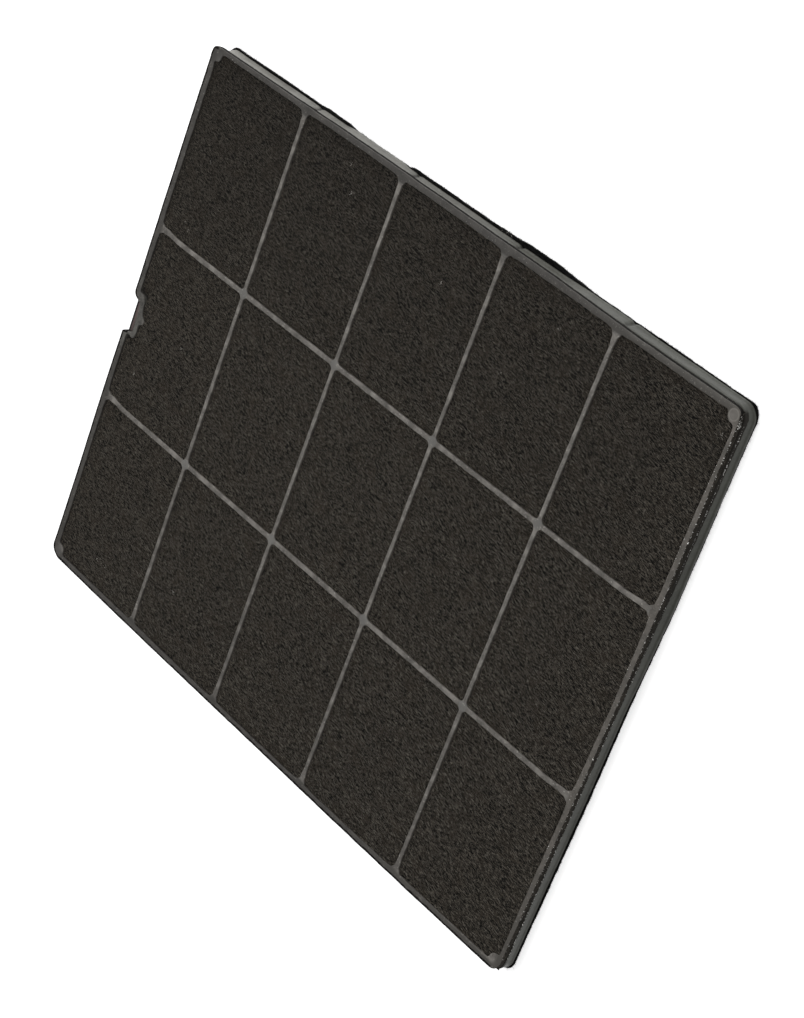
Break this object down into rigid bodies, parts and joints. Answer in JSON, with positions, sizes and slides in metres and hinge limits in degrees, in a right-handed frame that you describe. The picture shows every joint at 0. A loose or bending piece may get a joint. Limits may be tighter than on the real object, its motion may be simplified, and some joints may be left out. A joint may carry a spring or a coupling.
{
  "type": "cooker hood carbon filter",
  "caption": "Flat rectangular cooker hood carbon filter: moulded grille over a dark carbon fleece mat in a shallow tray, with a latch notch in one short side.",
  "frame": {"origin": "middle of the back face, on the surface the filter lies on", "axes": "+Z from the back to the grille face, X along the long side with the latch notch at -X, Y along the short side"},
  "size_m": [0.265, 0.212, 0.008],
  "materials": {
    "grille_plastic": "matt moulded plastic with flash along its edges",
    "tray_plastic": "smooth moulded plastic",
    "carbon_fleece": "needled fleece filled with activated carbon",
    "black_fleece": "thin black bonded fleece"
  },
  "bodies": {
    "root": {"front_grille": "grille_plastic", "rear_tray": "tray_plastic", "carbon_mat": "carbon_fleece", "backing_fleece": "black_fleece"}
  },
  "joints": []
}
